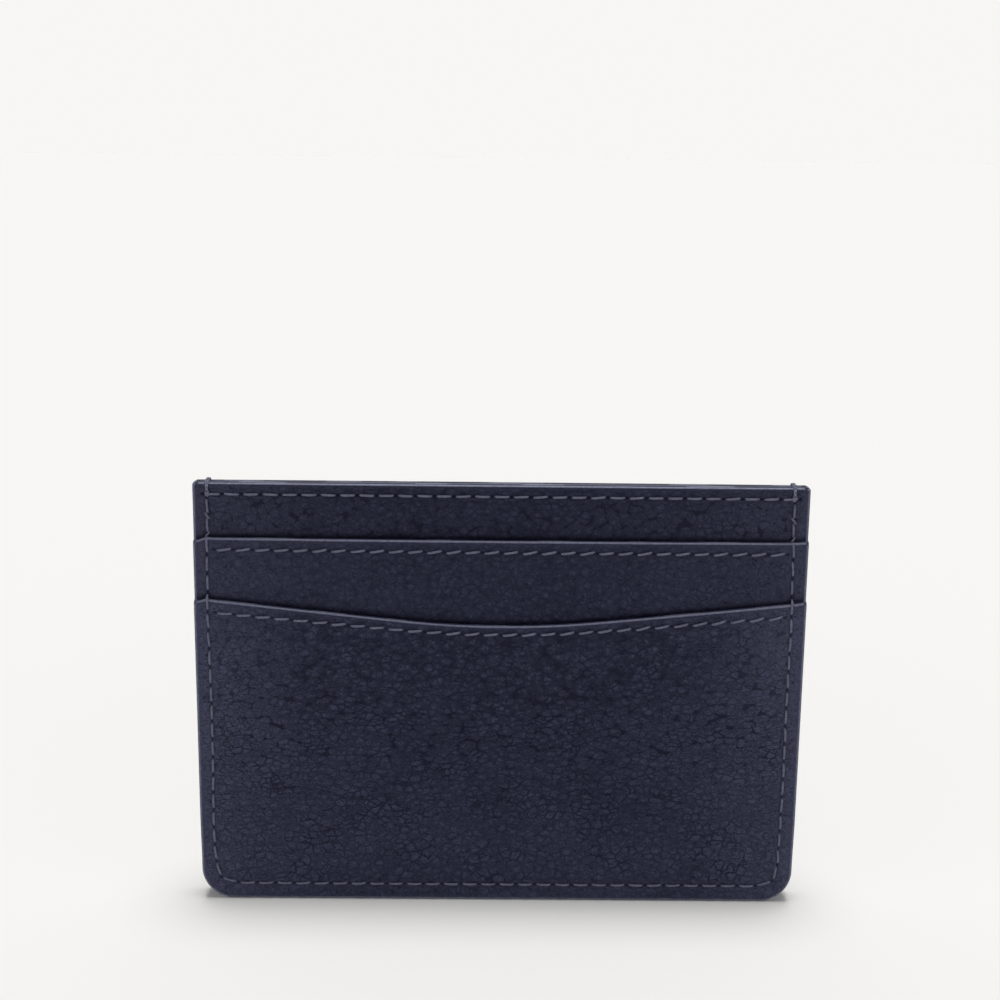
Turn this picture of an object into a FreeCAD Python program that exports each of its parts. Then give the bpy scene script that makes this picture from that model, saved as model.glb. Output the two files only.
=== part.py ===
# Card holder: two leather halves back to back, each a base panel with two card pockets sewn on it.
# It stands on its bottom edge. X runs along the width, -Y is the front, +Z is up to the open mouths,
# and the origin is the middle of the bottom edge. Millimetres.
import FreeCAD
import Part
import math
import os

import Sketcher

Vector = FreeCAD.Vector

doc = FreeCAD.newDocument("card_holder")
sheet = doc.addObject("Spreadsheet::Sheet", "Sizes")

driving_sizes = {
    "width": 100.0,              # overall, painted side edge to painted side edge
    "height": 72.0,              # bottom edge to the top mouth
    "corner_radius": 5.4,        # bottom corners
    "shoulder_radius": 0.6,      # top corners
    "base_leather": 1.0,         # thickness of the two base panels
    "pocket_leather": 0.7,       # thickness of the pocket panels, skived thinner
    "lining": 0.15,              # thin cloth glued behind every panel
    "ply_gap": 0.02,             # room between neighbouring plies
    "edge_paint": 0.15,          # coat on every cut edge
    "middle_mouth_drop": 9.0,    # top edge down to the middle pocket's mouth
    "outer_mouth_drop": 18.9,    # top edge down to the ends of the outer pocket's mouth
    "outer_mouth_slope": 0.098,  # fall of the outer mouth towards the middle, per millimetre
    "dip_reach": 16.0,           # half the length of the rounded dip in the outer mouth
    "stop_height": 15.0,         # lower edge of the middle pocket above the bottom
    "stop_margin": 2.0,          # stop seam above that lower edge
    "base_opening": 0.15,        # how far each mouth stands open at the middle
    "middle_opening": 0.4,
    "outer_opening": 0.45,
    "seam_margin": 2.6,          # outline seam in from the edge
    "mouth_margin": 1.8,         # stitch row below each mouth
    "row_inset": 0.9,            # a mouth's stitch row stops this far short of the outline seam
    "stitch_pitch": 3.15,
    "stitch_length": 2.5,
    "thread_diameter": 0.4,
    "buried_thread": 0.1,        # thickness of thread pulled flat into a lining
    "groove_width": 0.6,         # slit in a lining that buried thread lies in
    "tack_length": 1.4,          # how far a bar tack runs down each face
}


class Size:
    """A length that carries its number and the formula on the sheet that it comes from."""

    def __init__(self, number, formula):
        self.number = number
        self.formula = formula

    def joined(self, other, sign, number):
        return Size(number, f"({self.formula} {sign} {as_size(other).formula})")

    def __add__(self, other):
        return self.joined(other, "+", self.number + as_size(other).number)

    def __sub__(self, other):
        return self.joined(other, "-", self.number - as_size(other).number)

    def __mul__(self, other):
        return self.joined(other, "*", self.number * as_size(other).number)

    def __truediv__(self, other):
        return self.joined(other, "/", self.number / as_size(other).number)

    def __neg__(self):
        return Size(-self.number, f"(-1 * {self.formula})")


def as_size(value):
    return value if isinstance(value, Size) else Size(float(value), f"{float(value):g}")


def fill_sheet():
    sizes = {}
    for row, (name, number) in enumerate(driving_sizes.items(), start=1):
        sheet.set(f"A{row}", name)
        sheet.set(f"B{row}", f"{number:g}")
        sheet.setAlias(f"B{row}", name)
        sizes[name] = Size(number, f"Sizes.{name}")
    doc.recompute()
    return sizes


size = fill_sheet()
nothing = Size(0.0, "0")

# Outline of the leather, inside its edge paint.
half = size["width"] / 2 - size["edge_paint"]
bottom = size["edge_paint"]
top = size["height"] - size["edge_paint"]
corner = size["corner_radius"] - size["edge_paint"]
shoulder = size["shoulder_radius"] - size["edge_paint"]

# Heights of the mouths and of the edges below them.
middle_mouth = size["height"] - size["middle_mouth_drop"]
outer_mouth_end = size["height"] - size["outer_mouth_drop"]
stop = size["stop_height"]

# Depth of each ply's inner face from the mid plane, at the seams.
base_lining_depth = size["ply_gap"] / 2
base_depth = base_lining_depth + size["lining"]
base_face = base_depth + size["base_leather"]
middle_lining_depth = base_face + size["ply_gap"]
middle_depth = middle_lining_depth + size["lining"]
middle_face = middle_depth + size["pocket_leather"]
outer_lining_depth = middle_face + size["ply_gap"]
outer_depth = outer_lining_depth + size["lining"]
outer_face = outer_depth + size["pocket_leather"]
ply_step = outer_depth - middle_depth   # how much closer the outer pocket lies where it meets the base


def base_bow(level):
    return size["base_opening"] * level / size["height"]


def middle_bow(level):
    return base_bow(level) + size["middle_opening"] * (level - stop) / (middle_mouth - stop)


def outer_bow(level):
    return middle_bow(level) + size["outer_opening"] * (level - stop) / (outer_mouth_end - stop)


# Each ply is drawn at a few levels: height, depth of its inner face at the seams, bow at the middle.
def base_levels(depth):
    return [(nothing, depth, None), (size["height"], depth, base_bow(size["height"]))]


def middle_levels(depth, upper):
    return [(stop, depth, middle_bow(stop)), (upper, depth, middle_bow(upper))]


def outer_levels(depth):
    return [
        (nothing, depth - ply_step, None),
        (stop, depth, middle_bow(stop)),
        (outer_mouth_end, depth, outer_bow(outer_mouth_end)),
    ]


def plane_of(body, role):
    return next(item for item in body.Origin.OriginFeatures if item.Role == role)


def new_body(name):
    body = doc.addObject("PartDesign::Body", name)
    body.Label = name
    return body


def new_sketch(body, name, role, level=None):
    sketch = body.newObject("Sketcher::SketchObject", f"{body.Name}_{name}")
    sketch.AttachmentSupport = [(plane_of(body, role), "")]
    sketch.MapMode = "FlatFace"
    if level is not None:
        sketch.setExpression("AttachmentOffset.Base.z", level.formula)
    return sketch


def pin(sketch, edge, end, place):
    """Ties one end of an edge to the sketch's origin by two sizes, whose signs say the quadrant."""
    for kind, axis, length in (("DistanceX", -2, place[0]), ("DistanceY", -1, place[1])):
        if abs(length.number) < 1e-9:
            sketch.addConstraint(Sketcher.Constraint("PointOnObject", edge, end, axis))
            continue
        points = (-1, 1, edge, end) if length.number > 0 else (edge, end, -1, 1)
        distance = length if length.number > 0 else -length
        row = sketch.addConstraint(Sketcher.Constraint(kind, *points, distance.number))
        sketch.setExpression(f"Constraints[{row}]", distance.formula)


def draw_loop(sketch, corners, arcs=None):
    """Draws a closed outline. arcs gives, for some edges, a point on the arc and its radius."""
    arcs = arcs or {}
    places = [Vector(x.number, y.number, 0) for x, y in corners]
    edges = []
    for number, place in enumerate(places):
        following = places[(number + 1) % len(places)]
        if number in arcs:
            curve = Part.Arc(place, arcs[number][0], following)
        else:
            curve = Part.LineSegment(place, following)
        edge = sketch.addGeometry(curve, False)
        turned = sketch.getPoint(edge, 1).distanceToPoint(place) > 1e-6
        edges.append((edge, 2 if turned else 1, 1 if turned else 2))
    for number, (edge, start, end) in enumerate(edges):
        following = edges[(number + 1) % len(edges)]
        sketch.addConstraint(Sketcher.Constraint("Coincident", edge, end, following[0], following[1]))
        pin(sketch, edge, start, corners[number])
        if number in arcs:
            radius = arcs[number][1]
            row = sketch.addConstraint(Sketcher.Constraint("Radius", edge, radius.number))
            sketch.setExpression(f"Constraints[{row}]", radius.formula)


def draw_ply(sketch, side, reach, depth, thickness, bow):
    """Draws a ply's section from above: a strip from -reach to reach that bows outwards by bow."""
    toward = 1 if side > 0 else -1

    def outward(length):
        return length if toward > 0 else -length

    inner, outer = outward(depth), outward(depth + thickness)
    arcs = {}
    if bow is not None:
        radius = (reach * reach + bow * bow) / (bow * 2)
        arcs[0] = (Vector(0, inner.number + toward * bow.number, 0), radius)
        arcs[2] = (Vector(0, outer.number + toward * bow.number, 0), radius)
    draw_loop(sketch, [(-reach, inner), (reach, inner), (reach, outer), (-reach, outer)], arcs)


def loft_ply(name, side, levels, thickness):
    """One ply of leather or lining, through its sections."""
    body = new_body(name)
    sketches = []
    for number, (level, depth, bow) in enumerate(levels):
        sketch = new_sketch(body, f"section_{number}", "XY_Plane", level)
        draw_ply(sketch, side, half, depth, thickness, bow)
        sketches.append(sketch)
    loft = body.newObject("PartDesign::AdditiveLoft", f"{name}_ply")
    loft.Profile = sketches[0]
    loft.Sections = sketches[1:]
    loft.Ruled = True
    return body


def cut_through(body, name, sketch):
    """Cuts a sketch through the body both ways, and checks that it took something away."""
    doc.recompute()
    volume = body.Shape.Volume
    pocket = body.newObject("PartDesign::Pocket", f"{body.Name}_{name}")
    pocket.Profile = sketch
    pocket.Type = "ThroughAll"
    pocket.SideType = "Symmetric"
    doc.recompute()
    if body.Shape.Volume >= volume:
        raise RuntimeError(f"{body.Label}: {name} cut nothing")


def trim(body, corners, arcs):
    """Keeps only what lies inside an outline seen from the front."""
    sketch = new_sketch(body, "outline", "XZ_Plane")
    far, low, high = size["width"], -size["height"], size["height"] * 2
    draw_loop(sketch, [(-far, low), (far, low), (far, high), (-far, high)])
    draw_loop(sketch, corners, arcs)
    cut_through(body, "trim", sketch)


def quarter(centre_x, centre_z, radius, angle):
    """A point at an angle on a rounded corner, with its radius."""
    turn = math.radians(angle)
    middle = Vector(centre_x.number + radius.number * math.cos(turn),
                    centre_z.number + radius.number * math.sin(turn), 0)
    return middle, radius


def rounded_bottom():
    """The outline's lower part, from the left side round to the right side."""
    corners = [
        (-half, bottom + corner),
        (-half + corner, bottom),
        (half - corner, bottom),
        (half, bottom + corner),
    ]
    arcs = {
        0: quarter(-half + corner, bottom + corner, corner, 225),
        2: quarter(half - corner, bottom + corner, corner, 315),
    }
    return corners, arcs


def trim_base(body):
    corners, arcs = rounded_bottom()
    corners += [
        (half, top - shoulder),
        (half - shoulder, top),
        (-half + shoulder, top),
        (-half, top - shoulder),
    ]
    arcs[4] = quarter(half - shoulder, top - shoulder, shoulder, 45)
    arcs[6] = quarter(-half + shoulder, top - shoulder, shoulder, 135)
    trim(body, corners, arcs)


def outer_mouth_line(shift):
    """The outer pocket's mouth from right to left, lowered by shift: straight falls and a round dip."""
    slope, reach = size["outer_mouth_slope"], size["dip_reach"]
    end = outer_mouth_end - shift
    shoulder_of_dip = end - slope * (half - reach)
    turn = math.atan(slope.number)
    lowest = shoulder_of_dip.number - reach.number * math.tan(turn / 2)
    run = Size(math.hypot(1, slope.number), f"sqrt(1 + {slope.formula} * {slope.formula})")
    radius = reach * run / slope
    corners = [(half, end), (reach, shoulder_of_dip), (-reach, shoulder_of_dip), (-half, end)]
    return corners, (Vector(0, lowest, 0), radius)


def trim_outer(body):
    corners, arcs = rounded_bottom()
    mouth, dip = outer_mouth_line(size["edge_paint"])
    arcs[5] = dip
    trim(body, corners + mouth, arcs)


def trim_outer_paint(body):
    upper, upper_dip = outer_mouth_line(nothing)
    lower, lower_dip = outer_mouth_line(size["edge_paint"])
    trim(body, upper + lower[::-1], {1: upper_dip, 5: lower_dip})


def groove(body, name, level):
    """A slit across a lining for thread that is pulled flat into it."""
    sketch = new_sketch(body, name, "XZ_Plane")
    reach = half - size["seam_margin"] / 2
    low, high = level - size["groove_width"] / 2, level + size["groove_width"] / 2
    draw_loop(sketch, [(-reach, low), (reach, low), (reach, high), (-reach, high)])
    cut_through(body, f"{name}_slit", sketch)


def groove_outer(body):
    """The same slit along the outer pocket's curved mouth."""
    upper, upper_dip = outer_mouth_line(size["mouth_margin"] - size["groove_width"] / 2)
    lower, lower_dip = outer_mouth_line(size["mouth_margin"] + size["groove_width"] / 2)
    inset = size["seam_margin"] / 2
    drop = size["outer_mouth_slope"] * inset
    for line in (upper, lower):
        line[0] = (line[0][0] - inset, line[0][1] - drop)
        line[3] = (line[3][0] + inset, line[3][1] - drop)
    sketch = new_sketch(body, "mouth_row", "XZ_Plane")
    draw_loop(sketch, upper + lower[::-1], {1: upper_dip, 5: lower_dip})
    cut_through(body, "mouth_row_slit", sketch)


def paint_strip(name, side, reach, level, depth, thickness, bow):
    """Edge paint along a straight mouth, its upper face at level."""
    body = new_body(name)
    sketch = new_sketch(body, "section", "XY_Plane", level - size["edge_paint"])
    draw_ply(sketch, side, reach, depth, thickness, bow)
    pad = body.newObject("PartDesign::Pad", f"{name}_coat")
    pad.Profile = sketch
    pad.setExpression("Length", size["edge_paint"].formula)


def make_half(place, side):
    """The six plies and three painted mouths of one half of the card holder."""
    top_row = size["height"] - size["mouth_margin"]
    stop_row = stop + size["stop_margin"]
    middle_top = middle_mouth - size["edge_paint"]

    base_lining = loft_ply(f"{place}_base_lining", side, base_levels(base_lining_depth), size["lining"])
    trim_base(base_lining)
    groove(base_lining, "mouth_row", top_row)
    groove(base_lining, "stop_row", stop_row)
    base = loft_ply(f"{place}_base_panel", side, base_levels(base_depth), size["base_leather"])
    trim_base(base)

    middle_lining = loft_ply(f"{place}_middle_pocket_lining", side,
                             middle_levels(middle_lining_depth, middle_top), size["lining"])
    groove(middle_lining, "mouth_row", middle_mouth - size["mouth_margin"])
    loft_ply(f"{place}_middle_pocket", side,
             middle_levels(middle_depth, middle_top), size["pocket_leather"])

    outer_lining = loft_ply(f"{place}_outer_pocket_lining", side,
                            outer_levels(outer_lining_depth), size["lining"])
    trim_outer(outer_lining)
    groove(outer_lining, "stop_row", stop_row)
    groove_outer(outer_lining)
    outer = loft_ply(f"{place}_outer_pocket", side, outer_levels(outer_depth), size["pocket_leather"])
    trim_outer(outer)

    pocket_ply = size["lining"] + size["pocket_leather"]
    base_reach = size["width"] / 2 - size["shoulder_radius"] - size["ply_gap"]
    paint_strip(f"{place}_base_edge_paint", side, base_reach, size["height"], base_lining_depth,
                size["lining"] + size["base_leather"], base_bow(size["height"]))
    paint_strip(f"{place}_middle_mouth_edge_paint", side, half, middle_mouth, middle_lining_depth,
                pocket_ply, middle_bow(middle_mouth))
    outer_paint = loft_ply(f"{place}_outer_mouth_edge_paint", side,
                           outer_levels(outer_lining_depth), pocket_ply)
    trim_outer_paint(outer_paint)


def make_outline_paint():
    """One coat round both sides and the bottom, over the stacked plies of both halves."""
    body = new_body("outline_edge_paint")
    ring = new_sketch(body, "ring", "XZ_Plane")
    for inset in (nothing, size["edge_paint"]):
        side, low, high = size["width"] / 2 - inset, inset, size["height"] - inset
        wide, narrow = size["corner_radius"] - inset, size["shoulder_radius"] - inset
        corners = [
            (-side, low + wide), (-side + wide, low), (side - wide, low), (side, low + wide),
            (side, high - narrow), (side - narrow, high), (-side + narrow, high), (-side, high - narrow),
        ]
        draw_loop(ring, corners, {
            0: quarter(-side + wide, low + wide, wide, 225),
            2: quarter(side - wide, low + wide, wide, 315),
            4: quarter(side - narrow, high - narrow, narrow, 45),
            6: quarter(-side + narrow, high - narrow, narrow, 135),
        })
    coat = body.newObject("PartDesign::Pad", "outline_coat")
    coat.Profile = ring
    coat.SideType = "Symmetric"
    coat.setExpression("Length", (outer_face * 4).formula)

    open_top = new_sketch(body, "open_top", "XZ_Plane")
    reach = size["width"] / 2 - size["shoulder_radius"]
    low, high = size["height"] - size["edge_paint"] * 2, size["height"] * 2
    draw_loop(open_top, [(-reach, low), (reach, low), (reach, high), (-reach, high)])
    cut_through(body, "mouth_cut", open_top)

    # Seen from the side, the coat is as deep as the plies stacked at each height.
    steps = [
        (outer_face - ply_step, -size["height"]), (outer_face - ply_step, nothing),
        (outer_face, stop), (outer_face, outer_mouth_end),
        (middle_face, outer_mouth_end), (middle_face, middle_mouth),
        (base_face, middle_mouth), (base_face, size["height"] * 2),
    ]
    stack = new_sketch(body, "stack", "YZ_Plane")
    far, below, above = size["width"], -size["height"] * 2, size["height"] * 3
    draw_loop(stack, [(-far, below), (far, below), (far, above), (-far, above)])
    draw_loop(stack, steps + [(-depth, level) for depth, level in reversed(steps)])
    cut_through(body, "stack_trim", stack)


# Threads are set by code, because their stitches follow the bowed faces at a pitch.
def number_of(name):
    return sheet.get(name)


def between(value, low, high, at_low, at_high):
    return at_low + (at_high - at_low) * (value - low) / (high - low)


def bowed(x, depth, bow):
    return depth + bow * max(0.0, 1 - (x / half.number) ** 2)


def base_surface(x, z):
    return bowed(x, base_face.number, number_of("base_opening") * z / number_of("height"))


def opening_at(z, name, mouth):
    return number_of(name) * (z - stop.number) / (mouth.number - stop.number)


def middle_surface(x, z):
    bow = number_of("base_opening") * z / number_of("height")
    bow += opening_at(z, "middle_opening", middle_mouth)
    return bowed(x, middle_face.number, bow)


def outer_surface(x, z):
    if z < stop.number:
        depth = between(z, 0, stop.number, outer_face.number - ply_step.number, outer_face.number)
        return bowed(x, depth, middle_bow(stop).number * z / stop.number)
    bow = number_of("base_opening") * z / number_of("height")
    bow += opening_at(z, "middle_opening", middle_mouth)
    bow += opening_at(z, "outer_opening", outer_mouth_end)
    return bowed(x, outer_face.number, bow)


def outer_mouth_height(x):
    """Height of the outer pocket's mouth at a place along the width."""
    slope, reach = number_of("outer_mouth_slope"), number_of("dip_reach")
    shoulder_of_dip = outer_mouth_end.number - slope * (half.number - reach)
    if abs(x) >= reach:
        return shoulder_of_dip + slope * (abs(x) - reach)
    radius = reach * math.hypot(1, slope) / slope
    return shoulder_of_dip + math.sqrt(radius ** 2 - reach ** 2) - math.sqrt(radius ** 2 - x ** 2)


def stack_surface(x, z, lower_z):
    """The outermost face where a stitch lies, picked by the stitch's lower end."""
    if lower_z < outer_mouth_height(x):
        return outer_surface(x, z)
    if lower_z < middle_mouth.number:
        return middle_surface(x, z)
    return base_surface(x, z)


def round_stitch(start, end):
    """A round-ended rod from one needle hole to the next."""
    radius = number_of("thread_diameter") / 2
    run = (end - start).Length - 2 * radius
    halfway = radius * math.sqrt(0.5)   # sideways and onward reach of the middle of each round end
    outline = Part.Wire([
        Part.LineSegment(Vector(0, 0, -radius), Vector(0, 0, run + radius)).toShape(),
        Part.Arc(Vector(0, 0, run + radius), Vector(halfway, 0, run + halfway),
                 Vector(radius, 0, run)).toShape(),
        Part.LineSegment(Vector(radius, 0, run), Vector(radius, 0, 0)).toShape(),
        Part.Arc(Vector(radius, 0, 0), Vector(halfway, 0, -halfway), Vector(0, 0, -radius)).toShape(),
    ])
    rod = Part.Face(outline).revolve(Vector(0, 0, 0), Vector(0, 0, 1), 360)
    along = (end - start).normalize()
    rod.Placement = FreeCAD.Placement(start + along * radius, FreeCAD.Rotation(Vector(0, 0, 1), along))
    return rod


def flat_stitch(start, end, side):
    """A thin round-ended strip, its inner face on the line from start to end."""
    radius, thickness = number_of("thread_diameter") / 2, number_of("buried_thread")
    run = (end - start).Length - 2 * radius
    outline = Part.Wire([
        Part.LineSegment(Vector(0, -radius, 0), Vector(run, -radius, 0)).toShape(),
        Part.Arc(Vector(run, -radius, 0), Vector(run + radius, 0, 0), Vector(run, radius, 0)).toShape(),
        Part.LineSegment(Vector(run, radius, 0), Vector(0, radius, 0)).toShape(),
        Part.Arc(Vector(0, radius, 0), Vector(-radius, 0, 0), Vector(0, -radius, 0)).toShape(),
    ])
    strip = Part.Face(outline).extrude(Vector(0, 0, thickness))
    along = (end - start).normalize()
    turn = FreeCAD.Rotation(along, Vector(), Vector(0, side, 0), "XZY")
    strip.Placement = FreeCAD.Placement(start + along * radius, turn)
    return strip


def stitch_line(path, length):
    """Start and end of each stitch along a path, as many as the pitch fits, with equal gaps."""
    count = max(1, round(length / number_of("stitch_pitch")))
    pitch = length / count
    gap = max(pitch - number_of("stitch_length"), 0.2 * pitch)
    starts = [pitch * number for number in range(count)]
    return [(path(start + gap / 2), path(start + pitch - gap / 2)) for start in starts]


def row_path(height_at, reach):
    """A path along a mouth from left to right, which returns x and z."""
    return lambda distance: (distance - reach, height_at(distance - reach))


def outline_seam():
    """The U-shaped seam's path from the top left, round the bottom, to the top right, and its length."""
    margin = number_of("seam_margin")
    side = number_of("width") / 2 - margin
    radius = number_of("corner_radius") - margin
    start = number_of("height") - number_of("mouth_margin") - 2 * number_of("thread_diameter")
    straight = start - margin - radius
    bend = radius * math.pi / 2
    across = 2 * (side - radius)
    length = 2 * straight + 2 * bend + across

    def place(distance):
        if distance > length / 2:
            x, z = place(length - distance)
            return -x, z
        if distance < straight:
            return -side, start - distance
        if distance < straight + bend:
            turn = (distance - straight) / radius
            return radius - side - radius * math.cos(turn), margin + radius - radius * math.sin(turn)
        return radius - side + distance - straight - bend, margin

    return place, length


def make_thread(name, solids):
    thread = doc.addObject("Part::Feature", name)
    thread.Label = name
    thread.Shape = Part.makeCompound(solids)
    thread.Placement = FreeCAD.Placement()


def proud_row(path, length, surface, side):
    """Round stitches that lie on a face."""
    lift = number_of("thread_diameter") / 2 + number_of("ply_gap")
    solids = []
    for ends in stitch_line(path, length):
        lower_z = min(z for _, z in ends) - number_of("thread_diameter")
        start, end = (Vector(x, side * (surface(x, z, lower_z) + lift), z) for x, z in ends)
        solids.append(round_stitch(start, end))
    return solids


def buried_row(path, length, surface, side):
    """Flat stitches in a lining's slit, from the lining's inner face outwards."""
    solids = []
    for (start_x, start_z), (end_x, end_z) in stitch_line(path, length):
        start = Vector(start_x, side * surface(start_x, start_z), start_z)
        end = Vector(end_x, side * surface(end_x, end_z), end_z)
        solids.append(flat_stitch(start, end, side))
    return solids


def bar_tack(side_x):
    """Thread taken over the top edge, which ties the front half to the rear half."""
    thick, clear = number_of("thread_diameter"), number_of("ply_gap")
    inner, outer = base_face.number + clear, base_face.number + clear + thick
    top_in, top_out = number_of("height") + clear, number_of("height") + clear + thick
    foot = number_of("height") - number_of("tack_length")
    profile = [(-outer, foot), (-inner, foot), (-inner, top_in), (inner, top_in),
               (inner, foot), (outer, foot), (outer, top_out), (-outer, top_out)]
    points = [Vector(side_x - thick / 2, y, z) for y, z in profile]
    return Part.Face(Part.makePolygon(points + points[:1])).extrude(Vector(thick, 0, 0))


def make_half_threads(place, side):
    """Needle and bobbin thread of one half's three mouth rows and of its stop seam."""
    seam_x = number_of("width") / 2 - number_of("seam_margin")
    margin, inset = number_of("mouth_margin"), number_of("row_inset")
    ply = number_of("lining") + number_of("pocket_leather")
    base_ply = number_of("lining") + number_of("base_leather")
    rows = {
        "base_mouth": (lambda x: number_of("height") - margin, seam_x + inset, base_surface, base_ply),
        "middle_mouth": (lambda x: middle_mouth.number - margin, seam_x - inset, middle_surface, ply),
        "outer_mouth": (lambda x: outer_mouth_height(x) - margin, seam_x - inset, outer_surface, ply),
    }
    for row, (height_at, reach, surface, thickness) in rows.items():
        path = row_path(height_at, reach)

        def on_face(x, z, low, face=surface):
            return face(x, z)

        def behind_ply(x, z, face=surface, ply=thickness):
            return face(x, z) - ply

        make_thread(f"{place}_{row}_needle_thread", proud_row(path, 2 * reach, on_face, side))
        make_thread(f"{place}_{row}_bobbin_thread", buried_row(path, 2 * reach, behind_ply, side))

    path = row_path(lambda x: stop.number + number_of("stop_margin"), seam_x - inset)
    length = 2 * (seam_x - inset)
    above = buried_row(path, length, lambda x, z: middle_surface(x, z) + number_of("ply_gap") / 2, side)
    below = buried_row(path, length, lambda x, z: base_surface(x, z) - base_ply, side)
    make_thread(f"{place}_stop_seam_needle_thread", above)
    make_thread(f"{place}_stop_seam_bobbin_thread", below)


def make_outline_threads():
    path, length = outline_seam()
    seam_x = number_of("width") / 2 - number_of("seam_margin")
    tacks = [bar_tack(-seam_x), bar_tack(seam_x)]
    make_thread("outline_needle_thread", proud_row(path, length, stack_surface, -1) + tacks)
    make_thread("outline_bobbin_thread", proud_row(path, length, stack_surface, 1))


def sub_parts():
    kinds = ("PartDesign::Body", "Part::Feature")
    named = [item for item in doc.Objects if item.TypeId in kinds]
    return [item for item in named if item.getParentGeoFeatureGroup() is None]


def check_and_write():
    for item in doc.Objects:
        if "Invalid" in item.State or "Error" in item.State:
            raise RuntimeError(f"{item.Label} failed: {item.State}")
    parts = sub_parts()
    for part in parts:
        if part.Shape.isNull() or not part.Shape.isValid() or not part.Shape.Solids:
            raise RuntimeError(f"{part.Label} has no sound solid")
    os.makedirs("parts", exist_ok=True)
    for part in parts:
        part.Shape.exportStep(f"parts/{part.Label}.step")
    print(f"{len(parts)} sub-parts written")


for half_name, half_side in (("front", -1), ("rear", 1)):
    make_half(half_name, half_side)
    make_half_threads(half_name, half_side)
make_outline_paint()
make_outline_threads()
doc.recompute()
check_and_write()
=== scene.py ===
import math
import random

import bpy
import numpy as np
from mathutils import Matrix, Vector


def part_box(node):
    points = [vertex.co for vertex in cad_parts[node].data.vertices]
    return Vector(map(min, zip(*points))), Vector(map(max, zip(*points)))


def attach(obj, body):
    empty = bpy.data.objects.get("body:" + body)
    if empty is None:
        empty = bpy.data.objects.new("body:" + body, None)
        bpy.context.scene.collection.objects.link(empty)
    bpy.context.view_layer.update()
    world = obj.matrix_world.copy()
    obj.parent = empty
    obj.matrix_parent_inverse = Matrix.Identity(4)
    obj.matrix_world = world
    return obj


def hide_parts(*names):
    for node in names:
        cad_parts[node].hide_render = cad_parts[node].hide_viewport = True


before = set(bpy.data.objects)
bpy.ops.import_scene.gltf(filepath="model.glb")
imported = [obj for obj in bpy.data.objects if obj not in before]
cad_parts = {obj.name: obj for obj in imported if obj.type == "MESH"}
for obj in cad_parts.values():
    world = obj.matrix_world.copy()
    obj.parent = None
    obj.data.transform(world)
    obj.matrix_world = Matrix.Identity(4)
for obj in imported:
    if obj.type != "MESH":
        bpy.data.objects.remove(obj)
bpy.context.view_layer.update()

# Everything is modelled in millimetres and brought to metres when a piece is finished.
mm = 0.001
sides = {"front": -1, "rear": 1}
dice = random.Random(7)


def report(text):
    print("card holder:", text)


def span(node):
    # a CAD node's box in millimetres, with y as distance from the mid plane
    low, high = (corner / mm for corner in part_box(node))
    near, far = sorted((abs(low.y), abs(high.y)))
    return {"half": high.x, "near": near, "far": far, "bottom": low.z, "top": high.z}


# ---- measures taken from the frame

leather = {"base": 1.0, "middle": 0.7, "outer": 0.7, "lining": 0.15}   # thickness, mm
base = span("front_base_panel")
middle = span("front_middle_pocket")
outer = span("front_outer_pocket")
outerPaint = span("front_outer_mouth_edge_paint")
topPaint = span("front_base_edge_paint")
middlePaint = span("front_middle_mouth_edge_paint")
outline = span("outline_edge_paint")

halfWidth = base["half"]
height = topPaint["top"]
middleMouth = middlePaint["top"]
outerMouthEnd = outerPaint["top"]
stopLevel = middle["bottom"]
outerSeamDepth = outerPaint["near"] + leather["lining"]
bow = {
    "base": base["far"] - base["near"] - leather["base"],
    "middle": middle["far"] - middle["near"] - leather["middle"],
    "outer": outer["far"] - outerSeamDepth - leather["outer"],
}

panelBox = {"base": base, "middle": middle, "outer": outer}
mouthLevel = {"base": height, "middle": middleMouth, "outer": outerMouthEnd}
mouthShape = {
    "slope": 0.098,            # of the outer mouth's straight ends
    "dipReach": 16.0,          # half the width of the arc between them
    "rowSlope": 0.84,          # its stitch row is flatter by this much
    "droop": (0.55, -0.12),    # how far a mouth sags at its left and right end
    "droopReach": 2.2,
}
seams = {
    "margin": 2.6,          # outline seam in from the side edges
    "lowMargin": 2.9,       # up from the bottom edge
    "startDrop": 2.4,       # and down from the top one
    "cornerRadius": 5.4,
    "shoulderRadius": 0.6,
    "pitch": 3.15,
    "rowDrop": 1.95,        # stitch row below its mouth
    "outerRowDrop": 2.15,   # the same for the outer mouth
    "rowReach": 0.9,        # rows end this far past the outline seam, on the pockets before it
    "thread": 0.40,
    # how far each stitch leans across its row, at the left end and at the right
    "slant": {"base": (0.0, 0.10), "middle": (0.25, 0.25), "outer": (0.13, 0.32), "outline": (0.04, 0.04)},
    "waver": 0.09,          # how much the lean changes from stitch to stitch
    "holeGap": 0.42,        # from a needle hole's middle to where the thread shows
}
seamX = outline["half"] - seams["margin"]
plyCorner = seams["cornerRadius"] - (outline["half"] - halfWidth)


def smooth(value, low, high):
    share = np.clip((value - low) / (high - low), 0.0, 1.0)
    return share * share * (3 - 2 * share)


def ripple(x, z, size, phase):
    # slow unevenness, about -1 to 1
    a = np.sin(x / size + 1.7 * np.sin(z / size * 0.7 + phase))
    b = np.sin(z / size * 1.1 + 2.1 * np.sin(x / size * 0.6 + phase * 2) + phase)
    return 0.5 * (a + b)


def dippedLine(x, end, slope):
    # straight in from the side edges, with an arc through the middle
    away, reach = np.abs(x), mouthShape["dipReach"]
    brow = end - slope * (halfWidth - reach)
    radius = reach * math.hypot(1, slope) / slope
    dip = brow + math.sqrt(radius ** 2 - reach ** 2) - np.sqrt(radius ** 2 - np.minimum(away, reach) ** 2)
    return np.where(away < reach, dip, brow + slope * (away - reach))


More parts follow.
